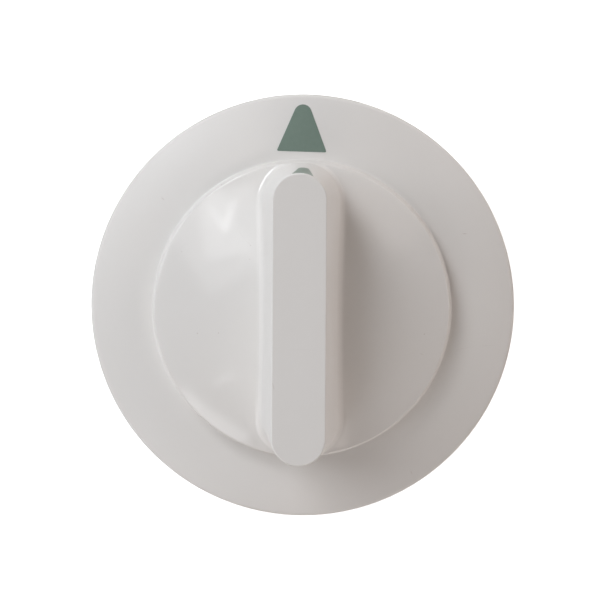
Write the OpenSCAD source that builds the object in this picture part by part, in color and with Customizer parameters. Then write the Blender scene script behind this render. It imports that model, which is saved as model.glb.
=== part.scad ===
// Timer knob for a clothes dryer, in millimetres.
// A wide round skirt carries a raised disc with a domed face, and a finger bar runs across the dome.
// The knob is one moulded piece, cored out from behind.
// Its hub is split, and a spring clip closes it on a D shaft.
// It lies on the back of its skirt: +Z points out of the front, and +Y is the way that the pointer points.

/* [Skirt] */
// Outside diameter of the skirt
skirt_d = 76; // [70:0.5:90]
// Height of the skirt's face where the disc stands on it
skirt_h = 5; // [4.5:0.1:8]
// Height of the upright part of the skirt's edge
rim_h = 1.6; // [1:0.1:2.5]
// Radius of the corner between the skirt's edge and its face
rim_round = 1; // [0.4:0.1:1.2]
// Radius of the bulge of the skirt's face, seen in section
face_r = 40; // [30:1:120]
// Wall thickness of the skirt
skirt_t = 1.8; // [1.4:0.1:2.2]

/* [Disc] */
// Diameter of the disc where it leaves the skirt
disc_d = 53.2; // [50:0.2:56]
// Height of the disc's edge above the skirt
disc_h = 3; // [2:0.1:5]
// Lean of the disc's edge wall, in degrees
disc_draft = 5; // [1:0.5:10]
// Radius of the disc's upper corner
disc_round = 0.5; // [0.2:0.1:1]
// Radius of the fillet between the disc and the skirt
disc_fillet = 0.3; // [0.1:0.1:0.8]
// Rise of the domed face from the disc's edge to its middle
dome_rise = 4.8; // [3:0.1:7]
// Wall thickness of the disc and its dome
disc_t = 1.8; // [1.4:0.1:2.4]

/* [Finger bar] */
// Height of the bar's flat top, which is the height of the knob
knob_h = 25.5; // [22:0.5:30]
// Width of the bar's top
bar_w = 9.5; // [9:0.25:13]
// Length of the bar's top over its round ends
bar_l = 51.1; // [46:0.1:51.4]
// Lean of the bar's long sides, in degrees
side_draft = 8; // [4:0.5:10]
// Lean of the bar's two ends at their tips, in degrees
end_draft = 2.4; // [1:0.2:4]
// Radius of the corner round the bar's top
bar_round = 0.3; // [0.1:0.1:0.8]
// Radius of the fillet between the bar and the dome
bar_fillet = 1.6; // [0.6:0.1:2]
// Wall thickness of the bar
bar_t = 1.8; // [1.4:0.1:2.4]

/* [Hub] */
// Outside diameter of the hub
hub_d = 10.6; // [9.6:0.1:11.2]
// Distance from the back of the skirt up to the hub's mouth
hub_inset = 0.8; // [0.2:0.1:2]
// Diameter of the shaft that the hub fits
shaft_d = 6.35; // [6:0.05:6.5]
// Size of that shaft across its flat
shaft_flat = 5.56; // [4.8:0.02:5.8]
// Clearance between the shaft and its socket, on the diameter
shaft_fit = 0.05; // [0:0.05:0.2]
// Depth of the socket
socket_depth = 15; // [12:0.5:17]
// Depth of the lead-in round the socket's mouth
socket_lead = 0.5; // [0.2:0.1:0.8]
// Thickness of the hub over the end of the socket
hub_cap = 2; // [1.5:0.1:3]
// Width of the slot that splits the hub
slot_w = 1.1; // [0.8:0.1:1.6]
// Length of that slot from the hub's mouth
slot_l = 9; // [7:0.5:11]
// Number of ribs between the hub and the disc
rib_count = 4; // [2:1:8]
// Thickness of a rib
rib_t = 1.2; // [0.8:0.1:1.8]
// Distance from the back of the skirt up to the ribs
rib_inset = 4; // [3:0.2:6]

/* [Spring clip] */
// Thickness of the clip's steel band
clip_t = 0.7; // [0.5:0.05:1]
// Width of the band, along the hub
clip_h = 5; // [3:0.5:6]
// Opening between the band's two ends
clip_gap = 2.2; // [1.5:0.1:4]
// Distance from the hub's mouth up to the band
clip_inset = 1.2; // [0.8:0.1:2]
// Depth of the hub's groove that holds the band
groove_deep = 0.3; // [0.1:0.05:0.5]
// Clearance between the band and its groove
clip_fit = 0.05; // [0.02:0.01:0.15]
// Clearance between the band and the ribs round it
clip_room = 0.5; // [0.3:0.1:1]

/* [Printed pointers] */
// Thickness of the printed ink
ink_t = 0.05; // [0.02:0.01:0.1]
// Distance from the knob's axis to the tip of the skirt's pointer
pointer_reach = 36.3; // [35:0.05:36.4]
// Length of the skirt's pointer
pointer_l = 8.3; // [6:0.05:8.6]
// Width of the skirt's pointer across its foot
pointer_w = 8.9; // [6:0.1:12]
// Radius of the pointer's tip
pointer_tip_r = 1.6; // [0.5:0.1:2]
// Radius of the pointer's two lower corners
pointer_corner_r = 0.2; // [0.1:0.05:0.6]
// Turn of the pointer about its tip, in degrees clockwise, as the print sits a little askew
pointer_turn = 1.4; // [-3:0.1:3]
// Length of the small pointer on the bar's end, from the bar's top
mark_l = 8.3; // [5:0.1:10]
// Width of the small pointer at the bar's top
mark_w = 3.7; // [2:0.1:5]
// Radius of the small pointer's tip
mark_tip_r = 0.9; // [0.4:0.1:1.2]
// Distance of the small pointer from the bar's middle plane
mark_shift = 0.5; // [-1:0.1:1]

/* [Hidden] */
$fn = 144;

// How far a cutter reaches past the face that it cuts
past = 1;
// Steps in the arc of a small round corner
round_steps = 6;
// Angle by which a corner's arc stops short of its neighbour, so that the two surfaces cross cleanly
cross_angle = 6;

skirt_r = skirt_d / 2;
disc_r = disc_d / 2;
hub_r = hub_d / 2;
socket_r = (shaft_d + shaft_fit) / 2;
socket_flat = shaft_flat - shaft_d / 2 + shaft_fit / 2;

// The arc of the skirt's face passes through the disc's foot and touches the rim's corner
rim_centre = [skirt_r - rim_round, rim_h];
disc_foot = [disc_r, skirt_h];
face_centre = arc_meet(disc_foot, face_r, rim_centre, face_r - rim_round);
rim_angle = angle_to(face_centre, rim_centre);

// The dome is part of a sphere that touches the disc's corner
disc_top = skirt_h + disc_h;
disc_top_r = disc_r - disc_h * tan(disc_draft);
disc_corner = [disc_top_r - disc_round, disc_top - disc_round];
dome_r = (disc_corner.x ^ 2 + (dome_rise + disc_round) ^ 2 - disc_round ^ 2) / (2 * dome_rise);
dome_z = disc_top + dome_rise - dome_r;
dome_angle = angle_to([0, dome_z], disc_corner);
disc_inner_r = disc_r - disc_t / cos(disc_draft);

// A fillet runs out this far under the face at its foot, so that it leaves no step
foot_sink = 0.02;
// Centre of the arc of the fillet between the disc and the skirt, and the angle at which it meets the skirt
fillet_x = disc_r + disc_fillet;
fillet_reach = face_r + disc_fillet - foot_sink;
fillet_centre = [fillet_x, face_centre.y + sqrt(fillet_reach ^ 2 - (fillet_x - face_centre.x) ^ 2)];
fillet_angle = 360 + angle_to(fillet_centre, face_centre);

// Radius at which the bar's ends are cut off flush with the disc's edge wall
bar_trim_r = disc_top_r - disc_round / 4;
// Level inside the disc where the bar's solid ends
bar_base = skirt_h;
// Steps round each end of the bar, along each side and up its fillet
end_steps = 32;
side_steps = 14;
fillet_steps = 8;

// Level of the hub's mouth, of its closed end and of the clip's lower edge
hub_mouth = hub_inset;
hub_end = hub_mouth + socket_depth + hub_cap;
clip_z = hub_mouth + clip_inset;
clip_r = hub_r - groove_deep + clip_fit;

// Distance by which the bar's side or end leans out below its top
side_lean = tan(side_draft);
end_lean = tan(end_draft);

white = "#f2f1ee";
green = "#6f857a";
steel = "#b8bcc0";

// Direction from a to b, in degrees
function angle_to(a, b) = atan2(b.y - a.y, b.x - a.x);

// Of the two points at distance ra from a and rb from b, the one on the left of the way from b to a
function arc_meet(a, ra, b, rb) =
    let (way = b - a, d = norm(way), u = way / d, t = (d ^ 2 + ra ^ 2 - rb ^ 2) / (2 * d))
    a + t * u + sqrt(ra ^ 2 - t ^ 2) * [u.y, -u.x];

// Points of an arc about c, from angle a0 to a1
function arc(c, r, a0, a1, steps = round_steps) =
    [for (i = [0:steps]) let (a = a0 + (a1 - a0) * i / steps) c + r * [cos(a), sin(a)]];

// The far end of a line that leaves an arc about c at angle a and runs on over the width w
function run_on(c, r, a, w) = c + r * [cos(a), sin(a)] + w * [-1, cos(a) / sin(a)];

// A place round the bar is [angle, share]: the angle that the wall faces, and where the end's centre lies
bar_places = concat(
    [for (i = [0:end_steps / 2]) [90 + 180 * i / end_steps, 1]],
    [for (i = [1:side_steps - 1]) [180, 1 - 2 * i / side_steps]],
    [for (i = [0:end_steps]) [180 + 180 * i / end_steps, -1]],
    [for (i = [1:side_steps - 1]) [0, -1 + 2 * i / side_steps]],
    [for (i = [0:end_steps / 2 - 1]) [180 * i / end_steps, 1]]
);

// Half the bar's width, and the distance from its middle to the centre of its round end, at level z
function bar_half(z) = bar_w / 2 + (knob_h - z) * side_lean;
function bar_centre(z) = bar_l / 2 + (knob_h - z) * end_lean - bar_half(z);

// A point of the bar's wall, and the direction that the wall faces there
function wall_point(p, z) = [
    bar_half(z) * cos(p[0]),
    bar_centre(z) * p[1] + bar_half(z) * sin(p[0]),
    z
];
function wall_facing(p) =
    let (lean = side_lean + (end_lean - side_lean) * abs(sin(p[0])))
    [cos(p[0]), sin(p[0]), lean] / norm([1, lean]);

// A point of the bar's inner wall, level with z
function inner_point(p, z) =
    let (level_t = bar_t / norm([wall_facing(p).x, wall_facing(p).y]))
    wall_point(p, z) - level_t * [cos(p[0]), sin(p[0]), 0];

// Points of the rounded corner under the bar's top, from the top down; grow moves the whole wall outwards
function corner_point(p, share, grow) =
    let (
        facing = wall_facing(p),
        centre = wall_point(p, knob_h - bar_round + bar_round * facing.z) - bar_round * facing,
        a = 90 + share * (asin(facing.z) - 90)
    )
    centre + (bar_round + grow) * [cos(a) * cos(p[0]), cos(a) * sin(p[0]), sin(a)];

// Centre of the ball that rolls along the fillet: it touches the wall and the dome
function ball_centre(p) =
    let (
        start = wall_point(p, 0) + bar_fillet * wall_facing(p) - [0, 0, dome_z],
        slope = wall_point(p, 1) - wall_point(p, 0),
        a = slope * slope,
        b = start * slope,
        c = start * start - (dome_r - foot_sink + bar_fillet) ^ 2,
        z = (sqrt(b ^ 2 - a * c) - b) / a
    )
    [0, 0, dome_z] + start + z * slope;

// Points of the fillet, from the wall down to the dome
function fillet_point(p, share, grow) =
    let (
        ball = ball_centre(p),
        from_wall = -wall_facing(p),
        to_dome = ([0, 0, dome_z] - ball) / norm([0, 0, dome_z] - ball),
        turn = acos(from_wall * to_dome),
        way = (sin((1 - share) * turn) * from_wall + sin(share * turn) * to_dome) / sin(turn)
    )
    ball + (bar_fillet - grow) * way;

// Rings round the bar: one of its rounded corner, one of its fillet, and its base inside the disc
function corner_ring(share, grow = 0) = [for (p = bar_places) corner_point(p, share, grow)];
function fillet_ring(share, grow = 0) = [for (p = bar_places) fillet_point(p, share, grow)];
function base_ring() = [for (q = fillet_ring(1)) [q.x, q.y, bar_base]];

// A solid through rings of equally many points, given from the top down
module loft(rings) {
    n = len(rings[0]);
    last = len(rings) - 1;
    points = [for (ring = rings) each ring];
    walls = [for (k = [0:last - 1], i = [0:n - 1], half = [0, 1])
        let (a = k * n + i, b = k * n + (i + 1) % n)
        half == 0 ? [a, b, b + n] : [a, b + n, a + n]];
    top = [[for (i = [0:n - 1]) n - 1 - i]];
    base = [[for (i = [0:n - 1]) last * n + i]];
    polyhedron(points, concat(walls, top, base));
}

// Outer form of the skirt, solid down to its back
module skirt_form() {
    rotate_extrude() intersection() {
        polygon(concat(
            [[0, 0], [skirt_r, 0]],
            arc(rim_centre, rim_round, 0, rim_angle - cross_angle),
            [run_on(rim_centre, rim_round, rim_angle - cross_angle, skirt_r / 2), [0, skirt_r]]
        ));
        translate([face_centre.x, face_centre.y])
            circle(face_r);
    }
}

// Outer form of the disc with its domed face, solid down to the back of the skirt
module disc_form() {
    intersection() {
        rotate_extrude() polygon(concat(
            [[0, 0], [fillet_centre.x, 0]],
            arc(fillet_centre, disc_fillet, fillet_angle, 180 + disc_draft),
            arc(disc_corner, disc_round, disc_draft, dome_angle - cross_angle),
            [run_on(disc_corner, disc_round, dome_angle - cross_angle, disc_corner.x)],
            [[0, dome_z + dome_r * 2]]
        ));
        translate([0, 0, dome_z])
            sphere(dome_r);
    }
}

// Outer form of the finger bar, cut off flush with the disc's edge wall
module bar_form() {
    intersection() {
        loft(concat(
            [for (i = [0:round_steps]) corner_ring(i / round_steps)],
            [for (i = [0:fillet_steps]) fillet_ring(i / fillet_steps)],
            [base_ring()]
        ));
        cylinder(h = knob_h + past, r = bar_trim_r);
    }
}

// The straight part of the bar's wall, between its corner and its fillet; grow moves it outwards
module bar_wall(grow = 0) {
    intersection() {
        loft([corner_ring(1, grow), fillet_ring(0, grow)]);
        cylinder(h = knob_h + past, r = bar_trim_r + grow);
    }
}

// The space under the skirt
module skirt_hollow() {
    rotate_extrude() intersection() {
        translate([0, -past])
            square([skirt_r - skirt_t, skirt_h + past]);
        translate([face_centre.x, face_centre.y])
            circle(face_r - skirt_t);
    }
}

// The space inside the disc, with a ceiling that follows the dome
module disc_hollow() {
    intersection() {
        rotate_extrude() polygon([
            [0, -past],
            [disc_inner_r, -past],
            [disc_inner_r, skirt_h],
            [disc_inner_r - disc_h * tan(disc_draft), disc_top],
            [disc_inner_r - disc_h * tan(disc_draft), disc_top + dome_rise],
            [0, disc_top + dome_rise]
        ]);
        translate([0, 0, dome_z])
            sphere(dome_r - disc_t);
    }
}

// The space inside the bar, with walls that lean as the outer ones do
module bar_hollow() {
    loft([for (z = [knob_h - bar_t, skirt_h + disc_round]) [for (p = bar_places) inner_point(p, z)]]);
}

// The hub, with a groove round it for the spring clip
module hub() {
    difference() {
        translate([0, 0, hub_mouth])
            cylinder(h = hub_end - hub_mouth, r = hub_r);
        translate([0, 0, clip_z - clip_fit])
            difference() {
                cylinder(h = clip_h + 2 * clip_fit, r = hub_r + past);
                translate([0, 0, -past])
                    cylinder(h = clip_h + 2 * past, r = hub_r - groove_deep);
            }
    }
}

// Ribs from the hub out to the disc's edge wall, up to the dome's ceiling, cut back round the spring clip
module ribs() {
    difference() {
        for (i = [0:rib_count - 1])
            rotate((i + 0.5) * 360 / rib_count)
                translate([0, -rib_t / 2, rib_inset])
                    cube([disc_r, rib_t, disc_top + dome_rise - disc_t - rib_inset]);
        cylinder(h = clip_z + clip_h + clip_room, r = clip_r + clip_t + clip_room);
    }
}

// The D-shaped socket for the shaft, with a lead-in at its mouth
module socket() {
    translate([0, 0, hub_mouth]) {
        difference() {
            translate([0, 0, -past])
                cylinder(h = socket_depth + past, r = socket_r);
            translate([-socket_r, socket_flat, -2 * past])
                cube([2 * socket_r, socket_r, socket_depth + 3 * past]);
        }
        cylinder(h = socket_lead, r1 = socket_r + socket_lead, r2 = socket_r);
    }
}

// The slot that splits the hub's mouth in two, beside the flat of the socket
module hub_slot() {
    translate([-hub_r - past, -slot_w / 2, hub_mouth - past])
        cube([2 * (hub_r + past), slot_w, slot_l + past]);
}

// The whole moulding: skirt, disc, bar, hub and ribs in one piece
module knob_body() {
    color(white) difference() {
        union() {
            skirt_form();
            disc_form();
            bar_form();
        }
        difference() {
            union() {
                skirt_hollow();
                disc_hollow();
                bar_hollow();
            }
            hub();
            ribs();
        }
        socket();
        hub_slot();
    }
}

// The spring clip: an open steel band in the hub's groove, with its opening over the slot
module spring_clip() {
    half_gap = asin(clip_gap / 2 / (clip_r + clip_t));
    color(steel) translate([0, 0, clip_z])
        rotate(half_gap)
            rotate_extrude(angle = 360 - 2 * half_gap)
                translate([clip_r, 0])
                    square([clip_t, clip_h]);
}

// A triangle with rounded corners: its tip at the origin, its foot at -l
module rounded_triangle(l, w, tip_r, corner_r) {
    reach = norm([w / 2, l - tip_r]);
    side = atan2(w / 2, l - tip_r) - asin(tip_r / reach);
    in = corner_r / tan((90 - side) / 2);
    polygon(concat(
        arc([w / 2 - in, corner_r - l], corner_r, -90, side),
        arc([0, -tip_r], tip_r, side, 180 - side, 4 * round_steps),
        arc([in - w / 2, corner_r - l], corner_r, 180 - side, 270)
    ));
}

// The pointer printed on the skirt, a film that follows the bulge of the face
module skirt_pointer() {
    color(green) intersection() {
        rotate_extrude() difference() {
            intersection() {
                translate([face_centre.x, face_centre.y])
                    circle(face_r + ink_t);
                translate([disc_r, 0])
                    square([skirt_r - disc_r, skirt_h + past]);
            }
            translate([face_centre.x, face_centre.y])
                circle(face_r);
        }
        linear_extrude(skirt_h + past)
            translate([0, pointer_reach])
                rotate(-pointer_turn)
                    rounded_triangle(pointer_l, pointer_w, pointer_tip_r, pointer_corner_r);
    }
}

// The small pointer printed on the bar's end wall, from its top corner down
module bar_pointer() {
    color(green) difference() {
        intersection() {
            bar_wall(ink_t);
            translate([mark_shift, bar_l / 2 + past, knob_h - bar_round - mark_l])
                rotate([90, 0, 0])
                    linear_extrude(bar_w / 2)
                        rotate(180)
                            rounded_triangle(mark_l, mark_w, mark_tip_r, pointer_corner_r);
        }
        bar_wall();
    }
}

knob_body();
spring_clip();
skirt_pointer();
bar_pointer();
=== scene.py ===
"""Timer knob of a clothes dryer: its moulding, its printed pointers and its spring clip.

The pieces are in metres, in the frame's own axes: +Z out of the knob's front, +Y where the pointer points.
"""

import math

import bpy
from mathutils import Matrix, Quaternion, Vector


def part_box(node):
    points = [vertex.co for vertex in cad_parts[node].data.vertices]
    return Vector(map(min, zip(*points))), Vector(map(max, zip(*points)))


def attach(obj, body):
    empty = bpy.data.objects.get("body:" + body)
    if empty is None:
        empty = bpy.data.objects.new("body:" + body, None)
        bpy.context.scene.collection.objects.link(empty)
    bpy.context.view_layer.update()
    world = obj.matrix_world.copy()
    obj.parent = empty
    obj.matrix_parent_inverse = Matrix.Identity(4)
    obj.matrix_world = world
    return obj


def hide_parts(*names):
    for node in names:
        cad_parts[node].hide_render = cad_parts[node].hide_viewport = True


bl_info = {
    "name": "Dryer Timer Knob",
    "version": (1, 0, 0),
    "blender": (4, 5, 0),
    "location": "View3D > Sidebar > Timer Knob",
    "description": "A white moulded timer knob with printed pointers and a spring clip",
    "category": "Object",
}

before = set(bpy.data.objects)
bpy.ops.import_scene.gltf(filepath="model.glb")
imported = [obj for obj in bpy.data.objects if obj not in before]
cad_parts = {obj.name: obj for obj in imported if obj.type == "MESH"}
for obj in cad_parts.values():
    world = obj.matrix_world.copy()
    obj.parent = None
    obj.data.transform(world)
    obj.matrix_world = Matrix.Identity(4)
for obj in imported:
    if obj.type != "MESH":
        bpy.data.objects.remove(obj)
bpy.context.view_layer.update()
KNOB_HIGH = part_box("knob_body")[1]
KNOB_R = KNOB_HIGH.x
KNOB_H = KNOB_HIGH.z
BODY = "root"
MM = 0.001

# Steps of a spun form round the axis, of a round end of the bar, of a long side of the bar
SPIN_STEPS = 360
END_STEPS = 96
SIDE_STEPS = 48
# Steps of a small corner, of a fillet and of a long shallow arc, in section
CORNER_STEPS = 10
FILLET_STEPS = 14
FACE_STEPS = 40
# How far a tool reaches past what it cuts
PAST = 1 * MM
# Mesh points closer than this are one
SAME = 1e-7

# Faint dark marks on the plastic, one of them painted shade: start and end, half width, all in millimetres, and
# strength
MARKS = (
    ((-18.4, -4.1, 10.3), (-18.4, -4.1, 10.3), 0.17, 0.30),
    ((-14.6, -3.9, 11.2), (-14.6, -3.9, 11.2), 0.14, 0.35),
    ((-9.0, 11.7, 11.3), (-9.0, 11.7, 11.3), 0.12, 0.30),
    ((-9.1, 9.3, 11.6), (-9.1, 9.3, 11.6), 0.12, 0.30),
    ((-21.3, 10.3, 8.8), (-21.3, 10.3, 8.8), 0.12, 0.30),
    # Painted shade and reflection: the dark spot at a small crease in the disc's edge wall
    ((-14.4, 22.2, 6.9), (-14.4, 22.2, 6.9), 0.18, 0.35),
    ((21.9, -4.0, 9.3), (21.9, -4.0, 9.3), 0.15, 0.35),
    ((21.1, -7.4, 9.2), (21.8, -7.8, 9.0), 0.08, 0.20),
    ((-25.2, 19.6, 4.2), (-24.7, 19.1, 4.3), 0.10, 0.35),
    ((28.5, 13.5, 4.2), (29.4, 13.5, 4.1), 0.08, 0.40),
    ((19.7, -29.4, 3.1), (20.0, -30.1, 3.0), 0.10, 0.25),
    ((-4.6, -10.7, 25.4), (-4.2, -12.3, 25.5), 0.08, 0.25),
    ((-11.2, 14.3, 10.5), (-9.9, 12.6, 11.0), 0.08, 0.08),
    ((-9.9, 12.6, 11.0), (-8.6, 11.5, 11.4), 0.08, 0.08),
    ((-3.9, -5.2, 25.5), (4.1, -5.0, 25.5), 0.06, 0.06),
    ((26.6, -7.4, 4.9), (31.1, -6.7, 4.2), 0.08, 0.06),
    ((31.1, -6.7, 4.2), (35.2, -6.5, 3.1), 0.08, 0.06),
)
# How far a mark reaches above and below its middle, in millimetres
MARK_REACH = 1.0

# Colours of the main lights and of the fills
NEUTRAL = (0.97, 0.98, 1)
WARM = (1, 0.89, 0.83)
# Soft lights: name, azimuth from +Y towards -X, elevation and turn in degrees,
# width and height in metres, power in watts, and colour.
# The two bright strips are what the dome mirrors as a V, and the rear strip as a fainter line.
LIGHT_DISTANCE = 1.0
LIGHTS = (
    ("Key", 36, 32, 0, 0.40, 0.40, 4.56, NEUTRAL),
    ("Key Side", 72, 32, 0, 0.40, 0.40, 2.19, NEUTRAL),
    ("Left Rear", 144, 32, 0, 0.40, 0.40, 1.32, NEUTRAL),
    ("Soft Panel", 48.0, 58.2, 53.5, 0.36, 0.31, 0.65, NEUTRAL),
    ("Wide Panel", 62, 57, 62, 0.50, 0.34, 0.69, NEUTRAL),
    ("Bright Strip Left", 51.1, 54.8, -103.2, 0.152, 0.028, 0.036, NEUTRAL),
    ("Bright Strip Right", 45.6, 56.9, -149.3, 0.155, 0.028, 0.060, NEUTRAL),
    ("Rear Strip", 137.4, 53.8, -103.2, 0.134, 0.025, 0.028, NEUTRAL),
    ("Near Low", 180, 12, 0, 0.40, 0.40, 2.38, WARM),
    ("Near High", 180, 52, 0, 0.40, 0.40, 1.01, WARM),
    ("Right Low", 270, 12, 0, 0.40, 0.40, 2.12, WARM),
    ("Far Right Low", 315, 12, 0, 0.40, 0.40, 1.89, WARM),
    ("Far Right High", 315, 52, 0, 0.40, 0.40, 0.36, WARM),
)


def length(name, description, millimetres):
    """A length in the sidebar, with its default given in millimetres"""
    return bpy.props.FloatProperty(
        name=name, description=description, subtype="DISTANCE", unit="LENGTH",
        min=0, precision=5, default=millimetres * MM)


def lean(name, description, degrees):
    """The lean of a wall in the sidebar, with its default given in degrees"""
    return bpy.props.FloatProperty(
        name=name, description=description, subtype="ANGLE", unit="ROTATION",
        min=0, max=math.radians(30), default=math.radians(degrees))


def colour(name, description, red, green, blue):
    """A colour in the sidebar"""
    return bpy.props.FloatVectorProperty(
        name=name, description=description, subtype="COLOR", size=3,
        min=0, max=1, default=(red, green, blue))


def share(name, description, value):
    """A number from 0 to 1 in the sidebar"""
    return bpy.props.FloatProperty(name=name, description=description, min=0, max=1, default=value)


class KnobFormSettings(bpy.types.PropertyGroup):
    """Sizes of the moulding; its outer radius and its height come from the frame"""

    wall: length("Wall", "Thickness of the moulding's walls", 1.8)
    skirt_height: length("Skirt height", "Height of the skirt's face where the disc stands on it", 5)
    rim_height: length("Rim height", "Height of the upright part of the skirt's edge", 1.6)
    rim_round: length("Rim corner", "Radius of the corner between the skirt's edge and its face", 1)
    face_radius: length("Face bulge", "Radius of the bulge of the skirt's face, in section", 40)
    disc_radius: length("Disc radius", "Radius of the disc where it leaves the skirt", 26.6)
    disc_height: length("Disc height", "Height of the disc's edge above the skirt", 3)
    disc_draft: lean("Disc draft", "Lean of the disc's edge wall", 5)
    disc_round: length("Disc corner", "Radius of the disc's upper corner", 0.5)
    disc_fillet: length("Disc fillet", "Radius of the fillet between the disc and the skirt", 0.3)
    dome_rise: length("Dome rise", "Rise of the domed face from the disc's edge to its middle", 4.8)
    bar_width: length("Bar width", "Width of the bar's top", 9.5)
    bar_length: length("Bar length", "Length of the bar's top over its round ends", 51.1)
    side_draft: lean("Side draft", "Lean of the bar's long sides", 8)
    end_draft: lean("End draft", "Lean of the bar's two ends at their tips", 2.4)
    bar_round: length("Bar corner", "Radius of the corner round the bar's top", 0.3)
    bar_fillet: length("Bar fillet", "Radius of the fillet between the bar and the dome", 1.6)
    fillet_sink: length("Fillet sink", "Depth at which the bar's fillet runs out under the dome", 0.004)
    hub_radius: length("Hub radius", "Outer radius of the hub", 5.3)
    hub_mouth: length("Hub mouth", "Height of the hub's open end above the back of the skirt", 0.8)
    hub_length: length("Hub length", "Length of the hub", 17)
    socket_radius: length("Socket radius", "Radius of the socket for the shaft", 3.2)
    socket_flat: length("Socket flat", "Distance of the socket's flat from the axis", 2.41)
    socket_depth: length("Socket depth", "Depth of the socket", 15)
    socket_lead: length("Socket lead", "Depth of the lead-in round the socket's mouth", 0.5)
    groove_mouth: length("Groove place", "Distance from the hub's open end to the clip's groove", 1.15)
    groove_width: length("Groove width", "Width of the clip's groove, along the hub", 5.1)
    groove_depth: length("Groove depth", "Depth of the clip's groove", 0.3)
    slot_width: length("Slot width", "Width of the slot that splits the hub", 1.1)
    slot_length: length("Slot length", "Length of the slot from the hub's open end", 9)
    rib_wall: length("Rib", "Thickness of a rib", 1.2)
    rib_height: length("Rib height", "Height of the ribs' lower edge above the back of the skirt", 4)
    clip_room_radius: length("Clip room radius", "Radius of the room left in the ribs for the clip", 6.25)
    clip_room_height: length("Clip room height", "Height of that room above the back of the skirt", 7.5)
    rib_count: bpy.props.IntProperty(
        name="Ribs", description="Number of ribs between the hub and the disc", min=2, max=8, default=4)
    smooth_angle: lean("Smooth angle", "Faces that meet at less than this angle are shaded as one", 28)


class KnobPlasticSettings(bpy.types.PropertyGroup):
    """The white plastic of the moulding"""

    white: colour("White", "Colour of the plastic", 0.78, 0.775, 0.765)
    aged_white: colour("Aged white", "Colour where the plastic has aged a little", 0.765, 0.755, 0.735)
    # Colours the specks and scratches, and also the painted shade spot on the disc's edge wall
    specks_and_painted_shade: colour("Marks", "Colour of the specks and scratches", 0.38, 0.31, 0.27)
    patch: length("Patch", "Size of the patches where the plastic has aged", 20)
    gloss: share("Gloss roughness", "Roughness of the polished dome", 0.105)
    skirt_satin: share("Skirt roughness", "Roughness of the skirt's face", 0.4)
    wall_satin: share("Wall roughness", "Roughness of the bar's walls", 0.6)
    satin_start: length("Satin start", "Height above the dome where the bar's satin finish starts", 0.03)
    satin_full: length("Satin full", "Height above the dome where the bar's satin finish is full", 0.15)
    top_matt: share("Bar top roughness", "Roughness of the finely textured top of the bar", 0.5)
    grain: length("Grain", "Size of the texture on the top of the bar", 0.2)
    grain_depth: length("Grain depth", "Depth of the texture on the top of the bar", 0.01)


class KnobInkSettings(bpy.types.PropertyGroup):
    """The ink of the printed pointers"""

    ink: colour("Skirt ink", "Colour of the ink on the skirt", 0.176, 0.243, 0.207)
    thin_ink: colour("Thin skirt ink", "Colour where that ink is laid on thinner", 0.203, 0.271, 0.233)
    bar_ink: colour("Bar ink", "Colour of the fainter ink on the bar", 0.28, 0.335, 0.295)
    thin_bar_ink: colour("Thin bar ink", "Colour where that ink is laid on thinner", 0.31, 0.365, 0.325)
    patch: length("Patch", "Size of the ink's uneven patches", 0.8)
    roughness: share("Roughness", "Roughness of the ink", 0.3)


class KnobClipSettings(bpy.types.PropertyGroup):
    """The steel of the spring clip"""

    steel: colour("Steel", "Colour of the spring steel", 0.55, 0.56, 0.58)
    dull_steel: colour("Dull steel", "Colour where the steel is duller", 0.44, 0.45, 0.46)
    bright: share("Bright roughness", "Roughness where the steel is bright", 0.22)
    dull: share("Dull roughness", "Roughness where the steel is dull", 0.42)
    streak: length("Streaks", "Size of the streaks along the band", 4)
    edge: length("Edge", "Width of the bevel along the band's edges", 0.08)


class KnobStageSettings(bpy.types.PropertyGroup):
    """The camera, the lights and the floor"""

    camera_distance: length("Camera distance", "Distance from the middle of the knob's back to the camera", 650)
    lens: bpy.props.FloatProperty(
        name="Lens", description="Focal length of the camera, in millimetres",
        min=20, max=500, default=216.55)
    camera_lean: bpy.props.FloatVectorProperty(
        name="Camera lean", description="Sideways parts of the direction from the knob to the camera",
        size=2, default=(0.0234, 0.1032))
    camera_roll: lean("Camera roll", "Turn of the camera about its own axis, which turns the knob clockwise", 0.33)
    camera_shift: bpy.props.FloatVectorProperty(
        name="Camera shift", description="Shift of the picture, as shares of its width",
        size=2, default=(-0.0042, 0.0088))
    light_level: bpy.props.FloatProperty(
        name="Light level", description="Strength of all the soft lights together", min=0, default=1)
    room: bpy.props.FloatProperty(
        name="Room light", description="Strength of the light from all round", min=0, default=0.002)
    backdrop: bpy.props.FloatProperty(
        name="Backdrop", description="Brightness of the room where the camera sees it", min=0, default=1)
    floor_glow: share("Floor glow", "Glow of the floor where the camera sees it, which keeps it pale", 0.9)
    floor_light: share("Floor light", "Glow of the floor where it lights the knob", 0)
    floor_white: colour("Floor", "Colour of the floor", 0.9, 0.9, 0.9)
    floor_grey: colour("Other floor", "Colour that the floor wanders to", 0.87, 0.87, 0.87)
    floor_patch: length("Floor patch", "Size of the floor's uneven patches", 60)
    floor_roughness: share("Floor roughness", "Roughness of the floor", 0.9)
    floor_size: length("Floor size", "Side of the floor", 6000)


def deselect_all():
    """Leaves edit mode and selects nothing"""
    if bpy.context.object and bpy.context.object.mode != "OBJECT":
        bpy.ops.object.mode_set(mode="OBJECT")
    bpy.ops.object.select_all(action="DESELECT")


def pick(piece):
    """Selects one piece alone and makes it active"""
    deselect_all()
    piece.select_set(True)
    bpy.context.view_layer.objects.active = piece


def close_solid(piece):
    """Merges a solid's doubled points, clears what is loose and turns its faces outwards"""
    pick(piece)
    bpy.ops.object.mode_set(mode="EDIT")
    bpy.ops.mesh.select_all(action="SELECT")
    bpy.ops.mesh.remove_doubles(threshold=SAME)
    bpy.ops.mesh.delete_loose()
    bpy.ops.mesh.select_all(action="SELECT")
    bpy.ops.mesh.normals_make_consistent(inside=False)
    bpy.ops.object.mode_set(mode="OBJECT")


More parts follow.
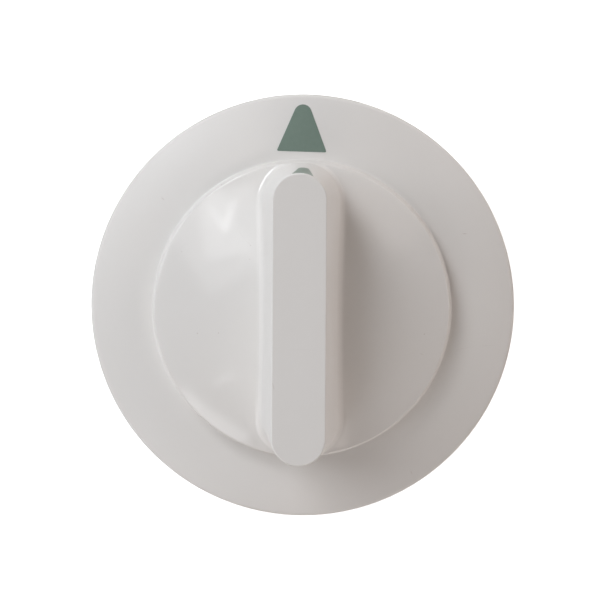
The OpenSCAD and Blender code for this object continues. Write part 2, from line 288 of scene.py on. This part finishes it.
def merged_copy(node, name):
    """A copy of a frame node whose loose triangles are joined, selected and active"""
    piece = bpy.data.objects.new(name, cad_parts[node].data.copy())
    bpy.context.scene.collection.objects.link(piece)
    pick(piece)
    piece.data.materials.clear()
    bpy.ops.mesh.customdata_custom_splitnormals_clear()
    close_solid(piece)
    return piece


def spun(name, outline):
    """A solid spun about Z from its section, whose first and last points lie on the axis"""
    deselect_all()
    bpy.ops.mesh.primitive_circle_add(vertices=len(outline), radius=KNOB_R)
    piece = bpy.context.object
    piece.name = name
    for vertex, (across, height) in zip(piece.data.vertices, outline):
        vertex.co = (across, 0, height)
    bpy.ops.object.mode_set(mode="EDIT")
    bpy.ops.mesh.select_all(action="SELECT")
    bpy.ops.mesh.spin(steps=SPIN_STEPS, angle=2 * math.pi, center=(0, 0, 0), axis=(0, 0, 1))
    close_solid(piece)
    return piece


def lofted(name, rings):
    """A solid through rings of equally many points, extruded from the top one down"""
    deselect_all()
    bpy.ops.mesh.primitive_circle_add(vertices=len(rings[0]), radius=KNOB_R, fill_type="NGON")
    piece = bpy.context.object
    piece.name = name
    bpy.ops.object.mode_set(mode="EDIT")
    bpy.ops.mesh.select_all(action="SELECT")
    for _ in rings[1:]:
        bpy.ops.mesh.extrude_region_move(TRANSFORM_OT_translate={"value": (0, 0, -PAST)})
    bpy.ops.object.mode_set(mode="OBJECT")
    for vertex, point in zip(piece.data.vertices, (point for ring in rings for point in ring)):
        vertex.co = point
    close_solid(piece)
    return piece


def rod(radius, low, high):
    """An upright cylinder about the axis"""
    deselect_all()
    bpy.ops.mesh.primitive_cylinder_add(
        vertices=SPIN_STEPS, radius=radius, depth=high - low, location=(0, 0, (low + high) / 2))
    return bpy.context.object


def block(low, high, turn=0):
    """A block between two corners, then turned about Z"""
    low, high = Vector(low), Vector(high)
    deselect_all()
    middle = Matrix.Rotation(turn, 3, "Z") @ ((low + high) / 2)
    bpy.ops.mesh.primitive_cube_add(size=1, location=middle, rotation=(0, 0, turn), scale=high - low)
    return bpy.context.object


def combine(piece, tool, operation):
    """Joins, cuts or crosses a piece with a tool, which is used up"""
    pick(piece)
    change = piece.modifiers.new("Combine", "BOOLEAN")
    change.operation = operation
    change.solver = "MANIFOLD"
    change.object = tool
    bpy.ops.object.modifier_apply(modifier=change.name)
    bpy.data.objects.remove(tool)
    return piece


def angle_to(a, b):
    """Direction from a to b in the section"""
    return math.atan2(b.y - a.y, b.x - a.x)


def arc(centre, radius, start, end, steps):
    """Points of an arc in the section"""
    turns = (start + (end - start) * i / steps for i in range(steps + 1))
    return [centre + radius * Vector((math.cos(turn), math.sin(turn))) for turn in turns]


def arc_meet(a, reach_a, b, reach_b):
    """Of the two points at reach_a from a and reach_b from b, the one on the left of the way from b to a"""
    way = b - a
    ahead = way.normalized()
    along = (way.length_squared + reach_a ** 2 - reach_b ** 2) / (2 * way.length)
    return a + along * ahead + math.sqrt(reach_a ** 2 - along ** 2) * Vector((ahead.y, -ahead.x))


class Section:
    """What the section of the moulding works out to: distances from the axis and heights, as x and y"""

    def __init__(self, form):
        self.rim_centre = Vector((KNOB_R - form.rim_round, form.rim_height))
        disc_foot = Vector((form.disc_radius, form.skirt_height))
        self.face_centre = arc_meet(
            disc_foot, form.face_radius, self.rim_centre, form.face_radius - form.rim_round)
        self.rim_angle = angle_to(self.face_centre, self.rim_centre)

        self.disc_top = form.skirt_height + form.disc_height
        self.disc_top_r = form.disc_radius - form.disc_height * math.tan(form.disc_draft)
        self.disc_corner = Vector((self.disc_top_r - form.disc_round, self.disc_top - form.disc_round))
        rise = form.dome_rise + form.disc_round
        self.dome_r = (self.disc_corner.x ** 2 + rise ** 2 - form.disc_round ** 2) / (2 * form.dome_rise)
        self.dome_centre = Vector((0, self.disc_top + form.dome_rise - self.dome_r))
        self.dome_angle = angle_to(self.dome_centre, self.disc_corner)

        fillet_x = form.disc_radius + form.disc_fillet
        fillet_rise = math.sqrt((form.face_radius + form.disc_fillet) ** 2 - (fillet_x - self.face_centre.x) ** 2)
        self.fillet_centre = Vector((fillet_x, self.face_centre.y + fillet_rise))
        self.foot_angle = angle_to(self.face_centre, self.fillet_centre)


def outer_outline(form, section):
    """Section of the skirt, the disc and its dome, from the middle of the back to the top of the dome"""
    return [
        Vector((0, 0)),
        Vector((KNOB_R, 0)),
        *arc(section.rim_centre, form.rim_round, 0, section.rim_angle, CORNER_STEPS),
        *arc(section.face_centre, form.face_radius, section.rim_angle, section.foot_angle, FACE_STEPS)[1:],
        *arc(section.fillet_centre, form.disc_fillet,
             section.foot_angle + math.pi, form.disc_draft + math.pi, CORNER_STEPS)[1:],
        *arc(section.disc_corner, form.disc_round, form.disc_draft, section.dome_angle, CORNER_STEPS),
        *arc(section.dome_centre, section.dome_r, section.dome_angle, math.pi / 2, FACE_STEPS)[1:],
    ]


def hollow_outline(form, section):
    """Section of the space behind the skirt and inside the disc, whose ceiling follows the dome"""
    face_r = form.face_radius - form.wall
    rim_r = KNOB_R - form.wall
    disc_r = form.disc_radius - form.wall / math.cos(form.disc_draft)
    ceiling_r = section.dome_r - form.wall
    ceiling_edge = section.dome_centre.y + math.sqrt(ceiling_r ** 2 - disc_r ** 2)
    ceiling_x = disc_r - (ceiling_edge - form.skirt_height) * math.tan(form.disc_draft)
    from_rim = math.acos((rim_r - section.face_centre.x) / face_r)
    to_disc = math.acos((disc_r - section.face_centre.x) / face_r)
    return [
        Vector((0, -PAST)),
        Vector((rim_r, -PAST)),
        *arc(section.face_centre, face_r, from_rim, to_disc, FACE_STEPS),
        Vector((disc_r, form.skirt_height)),
        *arc(section.dome_centre, ceiling_r, math.acos(ceiling_x / ceiling_r), math.pi / 2, FACE_STEPS),
    ]


def bar_places():
    """Places round the bar: the direction that the wall faces, and from 1 to -1 where its end's centre lies"""
    turns = [math.pi * i / END_STEPS for i in range(END_STEPS + 1)]
    ends = [1 - 2 * i / SIDE_STEPS for i in range(1, SIDE_STEPS)]
    return (
        [(turn, 1) for turn in turns] + [(math.pi, end) for end in ends]
        + [(turn + math.pi, -1) for turn in turns] + [(0, -end) for end in ends])


def wall_point(form, place, height, inset=0):
    """A point of the bar's wall at a height, or of the wall set in by a level distance"""
    turn, end = place
    below = KNOB_H - height
    half = form.bar_width / 2 + below * math.tan(form.side_draft)
    centre = form.bar_length / 2 + below * math.tan(form.end_draft) - half
    out = half - inset
    return Vector((out * math.cos(turn), centre * end + out * math.sin(turn), height))


def wall_facing(form, place):
    """The direction that the bar's wall faces; its lean passes from the sides' to the ends'"""
    turn = place[0]
    side, tip = math.tan(form.side_draft), math.tan(form.end_draft)
    return Vector((math.cos(turn), math.sin(turn), side + (tip - side) * abs(math.sin(turn)))).normalized()


def corner_point(form, place, part):
    """A point of the rounded corner round the bar's top; part runs from 0 at the top to 1 at the wall"""
    facing = wall_facing(form, place)
    height = KNOB_H - form.bar_round + form.bar_round * facing.z
    centre = wall_point(form, place, height) - form.bar_round * facing
    turn = math.pi / 2 + part * (math.asin(facing.z) - math.pi / 2)
    level = Vector((math.cos(place[0]), math.sin(place[0]), 0))
    return centre + form.bar_round * (math.cos(turn) * level + Vector((0, 0, math.sin(turn))))


def fillet_point(form, section, place, part):
    """A point of the fillet round the bar's foot; part runs from 0 at the wall to 1 at the dome.

    The fillet is the path of a ball that rolls round the bar and touches its wall and the dome.
    """
    facing = wall_facing(form, place)
    middle = Vector((0, 0, section.dome_centre.y))
    start = wall_point(form, place, 0) + form.bar_fillet * facing - middle
    slope = (wall_point(form, place, KNOB_H) - wall_point(form, place, 0)) / KNOB_H
    reach = section.dome_r - form.fillet_sink + form.bar_fillet
    square, cross = slope.dot(slope), start.dot(slope)
    height = (math.sqrt(cross ** 2 - square * (start.dot(start) - reach ** 2)) - cross) / square
    ball = middle + start + height * slope
    return ball + form.bar_fillet * (-facing).slerp((middle - ball).normalized(), part)


def bar_solid(form, section):
    """The finger bar with its rounded corner and its fillet, cut off flush with the disc's edge wall"""
    places = bar_places()
    corner = [[corner_point(form, place, i / CORNER_STEPS) for place in places]
              for i in range(CORNER_STEPS + 1)]
    fillet = [[fillet_point(form, section, place, i / FILLET_STEPS) for place in places]
              for i in range(FILLET_STEPS + 1)]
    foot = [Vector((point.x, point.y, form.skirt_height)) for point in fillet[-1]]
    bar = lofted("bar", corner + fillet + [foot])
    return combine(bar, rod(section.disc_top_r - form.disc_round / 4, 0, KNOB_H + PAST), "INTERSECT")


def hub_solid(form):
    """The hub, with the spring clip's groove round it"""
    groove_r = form.hub_radius - form.groove_depth
    groove_low = form.hub_mouth + form.groove_mouth
    groove_high = groove_low + form.groove_width
    hub_top = form.hub_mouth + form.hub_length
    return spun("hub", [
        (0, form.hub_mouth), (form.hub_radius, form.hub_mouth),
        (form.hub_radius, groove_low), (groove_r, groove_low),
        (groove_r, groove_high), (form.hub_radius, groove_high),
        (form.hub_radius, hub_top), (0, hub_top)])


def rib_solid(form, section, turn):
    """One rib from the hub to the disc's edge, cut back round the spring clip"""
    ceiling = section.disc_top + form.dome_rise - form.wall
    rib = block(
        (0, -form.rib_wall / 2, form.rib_height), (form.disc_radius, form.rib_wall / 2, ceiling), turn)
    return combine(rib, rod(form.clip_room_radius, 0, form.clip_room_height), "DIFFERENCE")


def hollow_solid(form, section):
    """All that is cored out from behind, round the hub and the ribs"""
    places = bar_places()
    inset = {place: form.wall / wall_facing(form, place).to_2d().length for place in places}
    levels = (KNOB_H - form.wall, form.skirt_height + form.disc_round)
    core = lofted("core", [[wall_point(form, place, level, inset[place]) for place in places] for level in levels])
    hollow = combine(spun("hollow", hollow_outline(form, section)), core, "UNION")
    combine(hollow, hub_solid(form), "DIFFERENCE")
    for i in range(form.rib_count):
        combine(hollow, rib_solid(form, section, (i + 0.5) * 2 * math.pi / form.rib_count), "DIFFERENCE")
    return hollow


def socket_solid(form):
    """The D-shaped socket for the shaft, with the lead-in at its mouth"""
    mouth = form.hub_mouth
    wide = form.socket_radius + form.socket_lead
    socket = rod(form.socket_radius, mouth - PAST, mouth + form.socket_depth)
    flat = block(
        (-wide, form.socket_flat, mouth - 2 * PAST), (wide, wide, mouth + form.socket_depth + PAST))
    combine(socket, flat, "DIFFERENCE")
    lead = spun("lead", [
        (0, mouth - PAST), (wide, mouth - PAST), (wide, mouth),
        (form.socket_radius, mouth + form.socket_lead), (0, mouth + form.socket_lead)])
    return combine(socket, lead, "UNION")


def slot_solid(form):
    """The slot that splits the hub"""
    half, across = form.slot_width / 2, form.hub_radius + PAST
    return block((-across, -half, form.hub_mouth - PAST), (across, half, form.hub_mouth + form.slot_length))


def shade(piece, smooth_angle):
    """Smooth shading whose normals lean towards the larger faces, so that flats stay flat beside corners"""
    pick(piece)
    bpy.ops.object.shade_smooth_by_angle(angle=smooth_angle)
    even = piece.modifiers.new("Even shading", "WEIGHTED_NORMAL")
    even.keep_sharp = True
    bpy.ops.object.modifier_apply(modifier=even.name)


def seat(piece, node, material):
    """Lets a finished piece stand for a frame node and material"""
    piece.data.materials.clear()
    piece.data.materials.append(material)
    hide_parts(node)
    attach(piece, BODY)


def add_node(tree, kind, **settings):
    """A new node in a node tree, with its settings made"""
    made = tree.nodes.new(kind)
    for setting, value in settings.items():
        setattr(made, setting, value)
    return made


def start_group(name, inputs, outputs):
    """An empty shader node group with its sockets, given as names, types and defaults"""
    tree = bpy.data.node_groups.new(name, "ShaderNodeTree")
    for label, kind, default in inputs:
        tree.interface.new_socket(label, in_out="INPUT", socket_type=kind).default_value = default
    for label, kind in outputs:
        tree.interface.new_socket(label, in_out="OUTPUT", socket_type=kind)
    return tree, tree.nodes.new("NodeGroupInput"), tree.nodes.new("NodeGroupOutput")


def mark_group():
    """A mask that is 1 inside a small turned ellipsoid and fades out at its skin"""
    tree, given, result = start_group(
        "Surface mark",
        (("Point", "NodeSocketVector", (0, 0, 0)),
         ("Place", "NodeSocketVector", (0, 0, 0)),
         ("Turn", "NodeSocketVector", (0, 0, 0)),
         ("Half Size", "NodeSocketVector", (1, 1, 1)),
         ("Strength", "NodeSocketFloat", 1)),
        (("Mask", "NodeSocketFloat"),))
    inside = add_node(tree, "ShaderNodeMapping", vector_type="TEXTURE")
    away = add_node(tree, "ShaderNodeVectorMath", operation="LENGTH")
    fade = add_node(tree, "ShaderNodeMapRange", interpolation_type="SMOOTHSTEP")
    fade.inputs["From Min"].default_value = 1
    fade.inputs["From Max"].default_value = 0.35
    tree.links.new(given.outputs["Strength"], fade.inputs["To Max"])
    tree.links.new(given.outputs["Point"], inside.inputs["Vector"])
    tree.links.new(given.outputs["Place"], inside.inputs["Location"])
    tree.links.new(given.outputs["Turn"], inside.inputs["Rotation"])
    tree.links.new(given.outputs["Half Size"], inside.inputs["Scale"])
    tree.links.new(inside.outputs["Vector"], away.inputs[0])
    tree.links.new(away.outputs["Value"], fade.inputs["Value"])
    tree.links.new(fade.outputs["Result"], result.inputs["Mask"])
    return tree


def drift_group():
    """A colour that wanders slowly between two, and a value that does the same"""
    tree, given, result = start_group(
        "Slow drift",
        (("Point", "NodeSocketVector", (0, 0, 0)),
         ("Size", "NodeSocketFloat", 0.02),
         ("Colour", "NodeSocketColor", (1, 1, 1, 1)),
         ("Other Colour", "NodeSocketColor", (1, 1, 1, 1))),
        (("Colour", "NodeSocketColor"), ("Value", "NodeSocketFloat")))
    per_metre = add_node(tree, "ShaderNodeMath", operation="DIVIDE")
    per_metre.inputs[0].default_value = 1
    noise = add_node(tree, "ShaderNodeTexNoise")
    noise.inputs["Detail"].default_value = 4
    mix = add_node(tree, "ShaderNodeMix", data_type="RGBA")
    tree.links.new(given.outputs["Size"], per_metre.inputs[1])
    tree.links.new(per_metre.outputs["Value"], noise.inputs["Scale"])
    tree.links.new(given.outputs["Point"], noise.inputs["Vector"])
    tree.links.new(noise.outputs["Fac"], mix.inputs["Factor"])
    tree.links.new(given.outputs["Colour"], mix.inputs[6])
    tree.links.new(given.outputs["Other Colour"], mix.inputs[7])
    tree.links.new(mix.outputs[2], result.inputs["Colour"])
    tree.links.new(noise.outputs["Fac"], result.inputs["Value"])
    return tree


def place_group(tree, name, make):
    """A node that holds a shared group, which is made the first time"""
    return add_node(tree, "ShaderNodeGroup", node_tree=bpy.data.node_groups.get(name) or make())


def place_drift(tree, point, size, first, second):
    """A slow drift between two colours, in patches of about this size"""
    drift = place_group(tree, "Slow drift", drift_group)
    tree.links.new(point, drift.inputs["Point"])
    drift.inputs["Size"].default_value = size
    drift.inputs["Colour"].default_value = (*first, 1)
    drift.inputs["Other Colour"].default_value = (*second, 1)
    return drift


def new_material(name):
    """A material with its Principled shader and its Object coordinates"""
    material = bpy.data.materials.new(name)
    material.use_nodes = True
    tree = material.node_tree
    shader = tree.nodes["Principled BSDF"]
    return material, tree, shader, tree.nodes.new("ShaderNodeTexCoord").outputs["Object"]


def scaled(tree, value, low, high):
    """The output of a value from 0 to 1 spread over another range"""
    spread = add_node(tree, "ShaderNodeMapRange")
    spread.inputs["To Min"].default_value = low
    spread.inputs["To Max"].default_value = high
    tree.links.new(value, spread.inputs["Value"])
    return spread.outputs["Result"]


def ramp(tree, value, start, end):
    """A smooth step from 0 to 1 as a value goes from start to end"""
    step = add_node(tree, "ShaderNodeMapRange", interpolation_type="SMOOTHSTEP")
    step.inputs["From Min"].default_value = start
    step.inputs["From Max"].default_value = end
    tree.links.new(value, step.inputs["Value"])
    return step.outputs["Result"]


def blend_values(tree, mask, first, second):
    """A value that passes from the first to the second where the mask is 1"""
    mix = add_node(tree, "ShaderNodeMix", data_type="FLOAT")
    tree.links.new(mask, mix.inputs[0])
    tree.links.new(first, mix.inputs[2])
    mix.inputs[3].default_value = second
    return mix.outputs[0]


def add_masks(tree, masks):
    """The sum of several masks, no higher than 1"""
    total = masks[0]
    for mask in masks[1:]:
        plus = add_node(tree, "ShaderNodeMath", operation="ADD", use_clamp=True)
        tree.links.new(total, plus.inputs[0])
        tree.links.new(mask, plus.inputs[1])
        total = plus.outputs["Value"]
    return total


def surface_mark(tree, point, start, end, half_width, strength):
    """The mask of one mark, a speck, a scratch or the painted shade spot, from its two ends"""
    start, end = Vector(start), Vector(end)
    way = (end - start).to_2d()
    mark = place_group(tree, "Surface mark", mark_group)
    tree.links.new(point, mark.inputs["Point"])
    mark.inputs["Place"].default_value = (start + end) / 2 * MM
    mark.inputs["Turn"].default_value = (0, 0, math.atan2(way.y, way.x))
    mark.inputs["Half Size"].default_value = Vector((way.length / 2 + half_width, half_width, MARK_REACH)) * MM
    mark.inputs["Strength"].default_value = strength
    return mark.outputs["Mask"]


def plastic_material(settings, form, section):
    """White moulded plastic: polished on the dome, satin elsewhere, finely textured on the bar's top"""
    material, tree, shader, point = new_material("White Plastic")
    drift = place_drift(tree, point, settings.patch, settings.white, settings.aged_white)
    # Dark specks and scratches, and one painted shade spot, laid over the white
    marked = add_node(tree, "ShaderNodeMix", data_type="RGBA")
    masks = [surface_mark(tree, point, *mark) for mark in MARKS]
    tree.links.new(add_masks(tree, masks), marked.inputs[0])
    tree.links.new(drift.outputs["Colour"], marked.inputs[6])
    marked.inputs[7].default_value = (*settings.specks_and_painted_shade, 1)
    tree.links.new(marked.outputs[2], shader.inputs["Base Color"])

    height = add_node(tree, "ShaderNodeSeparateXYZ")
    tree.links.new(point, height.inputs["Vector"])
    level = add_node(tree, "ShaderNodeVectorMath", operation="MULTIPLY")
    level.inputs[1].default_value = (1, 1, 0)
    tree.links.new(point, level.inputs[0])
    reach = add_node(tree, "ShaderNodeVectorMath", operation="LENGTH")
    tree.links.new(level.outputs["Vector"], reach.inputs[0])
    from_dome = add_node(tree, "ShaderNodeVectorMath", operation="DISTANCE")
    from_dome.inputs[1].default_value = (0, 0, section.dome_centre.y)
    tree.links.new(point, from_dome.inputs[0])
    skirt = ramp(tree, reach.outputs["Value"], section.disc_corner.x, section.disc_top_r)
    walls = ramp(
        tree, from_dome.outputs["Value"],
        section.dome_r + settings.satin_start, section.dome_r + settings.satin_full)
    top = ramp(tree, height.outputs["Z"], KNOB_H - form.bar_round / 3, KNOB_H)
    roughness = scaled(tree, skirt, settings.gloss, settings.skirt_satin)
    roughness = blend_values(tree, walls, roughness, settings.wall_satin)
    roughness = blend_values(tree, top, roughness, settings.top_matt)
    tree.links.new(roughness, shader.inputs["Roughness"])

    grain = add_node(tree, "ShaderNodeTexNoise")
    grain.inputs["Scale"].default_value = 1 / settings.grain
    grain.inputs["Detail"].default_value = 2
    tree.links.new(point, grain.inputs["Vector"])
    grain_height = add_node(tree, "ShaderNodeMath", operation="MULTIPLY")
    tree.links.new(grain.outputs["Fac"], grain_height.inputs[0])
    tree.links.new(top, grain_height.inputs[1])
    bump = add_node(tree, "ShaderNodeBump")
    bump.inputs["Distance"].default_value = settings.grain_depth
    tree.links.new(grain_height.outputs["Value"], bump.inputs["Height"])
    tree.links.new(bump.outputs["Normal"], shader.inputs["Normal"])
    return material


def ink_material(settings, name, ink, thin_ink):
    """Grey-green printed ink, laid on a little unevenly"""
    material, tree, shader, point = new_material(name)
    drift = place_drift(tree, point, settings.patch, ink, thin_ink)
    tree.links.new(drift.outputs["Colour"], shader.inputs["Base Color"])
    shader.inputs["Roughness"].default_value = settings.roughness
    return material


def steel_material(settings):
    """Spring steel, drawn along the band"""
    material, tree, shader, point = new_material("Spring Steel")
    drawn = add_node(tree, "ShaderNodeMapping")
    drawn.inputs["Scale"].default_value = (1, 1, 40)
    tree.links.new(point, drawn.inputs["Vector"])
    drift = place_drift(tree, drawn.outputs["Vector"], settings.streak, settings.steel, settings.dull_steel)
    tree.links.new(drift.outputs["Colour"], shader.inputs["Base Color"])
    roughness = scaled(tree, drift.outputs["Value"], settings.bright, settings.dull)
    tree.links.new(roughness, shader.inputs["Roughness"])
    shader.inputs["Metallic"].default_value = 1
    return material


class KNOB_OT_moulding(bpy.types.Operator):
    """Make the knob's moulding: skirt, domed disc and finger bar in front, hub and ribs behind"""

    bl_idname = "knob.moulding"
    bl_label = "Moulding"

    def execute(self, context):
        form = context.scene.knob_form
        section = Section(form)
        piece = spun("knob_moulding", outer_outline(form, section))
        combine(piece, bar_solid(form, section), "UNION")
        combine(piece, hollow_solid(form, section), "DIFFERENCE")
        combine(piece, socket_solid(form), "DIFFERENCE")
        combine(piece, slot_solid(form), "DIFFERENCE")
        close_solid(piece)
        shade(piece, form.smooth_angle)
        plastic = plastic_material(context.scene.knob_plastic, form, section)
        seat(piece, "knob_body", plastic)
        return {"FINISHED"}


class KNOB_OT_prints(bpy.types.Operator):
    """Give the two printed pointers their ink"""

    bl_idname = "knob.prints"
    bl_label = "Printed Pointers"

    def execute(self, context):
        settings = context.scene.knob_ink
        inks = {
            "skirt_pointer": ink_material(settings, "Green Ink", settings.ink, settings.thin_ink),
            "bar_pointer": ink_material(settings, "Faint Green Ink", settings.bar_ink, settings.thin_bar_ink),
        }
        for node, ink in inks.items():
            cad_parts[node].material_slots[0].material = ink
        return {"FINISHED"}


class KNOB_OT_clip(bpy.types.Operator):
    """Make the spring clip round the hub"""

    bl_idname = "knob.clip"
    bl_label = "Spring Clip"

    def execute(self, context):
        settings = context.scene.knob_clip
        piece = merged_copy("spring_clip", "hub_clip")
        softened = piece.modifiers.new("Edges", "BEVEL")
        softened.width = settings.edge
        softened.segments = 2
        softened.limit_method = "ANGLE"
        bpy.ops.object.modifier_apply(modifier=softened.name)
        shade(piece, math.radians(35))
        seat(piece, "spring_clip", steel_material(settings))
        return {"FINISHED"}


def add_soft_light(name, azimuth, elevation, turn, width, height, power, tint):
    """An oblong soft light that faces the knob; azimuth counts from +Y towards -X, and turn is its own"""
    way, rise = math.radians(azimuth), math.radians(elevation)
    towards = Vector((-math.sin(way) * math.cos(rise), math.cos(way) * math.cos(rise), math.sin(rise)))
    bpy.ops.object.light_add(type="AREA", location=towards * LIGHT_DISTANCE)
    light = bpy.context.object
    light.name = name
    facing = towards.to_track_quat("Z", "Y") @ Quaternion((0, 0, 1), math.radians(turn))
    light.rotation_euler = facing.to_euler()
    light.data.shape = "RECTANGLE"
    light.data.size = width
    light.data.size_y = height
    light.data.energy = power
    light.data.color = tint
    return light


def add_camera(settings):
    """The camera, leaning as the photograph's does"""
    lean_x, lean_y = settings.camera_lean
    towards = Vector((lean_x, lean_y, math.sqrt(1 - lean_x ** 2 - lean_y ** 2)))
    up = Vector((-math.sin(settings.camera_roll), math.cos(settings.camera_roll), 0))
    right = up.cross(towards).normalized()
    up = towards.cross(right)
    bpy.ops.object.camera_add(location=towards * settings.camera_distance)
    camera = bpy.context.object
    camera.name = "Knob Camera"
    camera.rotation_euler = Matrix((right, up, towards)).transposed().to_euler()
    camera.data.lens = settings.lens
    camera.data.sensor_width = 36
    camera.data.shift_x, camera.data.shift_y = settings.camera_shift
    camera.data.clip_start = 0.01
    camera.data.clip_end = 20
    bpy.context.scene.camera = camera


def add_room(settings):
    """A dim even light from all round, which the camera sees as a pale backdrop"""
    world = bpy.data.worlds.new("Studio")
    world.use_nodes = True
    tree = world.node_tree
    seen = add_node(tree, "ShaderNodeLightPath").outputs["Is Camera Ray"]
    background = tree.nodes["Background"].inputs
    background["Color"].default_value = (1, 1, 1, 1)
    tree.links.new(scaled(tree, seen, settings.room, settings.backdrop), background["Strength"])
    bpy.context.scene.world = world
    bpy.context.scene.view_settings.view_transform = "Standard"


def add_floor(settings):
    """A plain pale floor, whose glow the camera sees and the knob hardly feels"""
    bpy.ops.mesh.primitive_plane_add(size=settings.floor_size)
    floor = bpy.context.object
    floor.name = "floor"
    material, tree, shader, point = new_material("Pale Floor")
    drift = place_drift(tree, point, settings.floor_patch, settings.floor_white, settings.floor_grey)
    tree.links.new(drift.outputs["Colour"], shader.inputs["Base Color"])
    shader.inputs["Roughness"].default_value = settings.floor_roughness
    shader.inputs["Emission Color"].default_value = (1, 1, 1, 1)
    seen = add_node(tree, "ShaderNodeLightPath").outputs["Is Camera Ray"]
    glow = scaled(tree, seen, settings.floor_light, settings.floor_glow)
    tree.links.new(glow, shader.inputs["Emission Strength"])
    floor.data.materials.append(material)


class KNOB_OT_stage(bpy.types.Operator):
    """Make the camera, the lights, the room and the pale floor"""

    bl_idname = "knob.stage"
    bl_label = "Stage"

    def execute(self, context):
        settings = context.scene.knob_stage
        deselect_all()
        add_camera(settings)
        for name, azimuth, elevation, turn, width, height, power, tint in LIGHTS:
            add_soft_light(
                name, azimuth, elevation, turn, width, height, power * settings.light_level, tint)
        add_room(settings)
        add_floor(settings)
        return {"FINISHED"}


class KNOB_PT_panel(bpy.types.Panel):
    """The knob's operators and settings"""

    bl_idname = "KNOB_PT_panel"
    bl_label = "Timer Knob"
    bl_space_type = "VIEW_3D"
    bl_region_type = "UI"
    bl_category = "Timer Knob"

    def draw(self, context):
        for operator in OPERATORS:
            self.layout.operator(operator.bl_idname)
        for name, group in SETTINGS.items():
            box = self.layout.box()
            for setting in group.__annotations__:
                box.prop(getattr(context.scene, name), setting)


OPERATORS = (KNOB_OT_moulding, KNOB_OT_prints, KNOB_OT_clip, KNOB_OT_stage)
SETTINGS = {
    "knob_form": KnobFormSettings,
    "knob_plastic": KnobPlasticSettings,
    "knob_ink": KnobInkSettings,
    "knob_clip": KnobClipSettings,
    "knob_stage": KnobStageSettings,
}


def register():
    for name, group in SETTINGS.items():
        bpy.utils.register_class(group)
        setattr(bpy.types.Scene, name, bpy.props.PointerProperty(type=group))
    for shown in (*OPERATORS, KNOB_PT_panel):
        bpy.utils.register_class(shown)


def unregister():
    for shown in (KNOB_PT_panel, *reversed(OPERATORS)):
        bpy.utils.unregister_class(shown)
    for name, group in SETTINGS.items():
        delattr(bpy.types.Scene, name)
        bpy.utils.unregister_class(group)


def main():
    """Makes the whole scene"""
    register()
    bpy.ops.knob.moulding()
    bpy.ops.knob.prints()
    bpy.ops.knob.clip()
    bpy.ops.knob.stage()


if __name__ == "__main__":
    main()
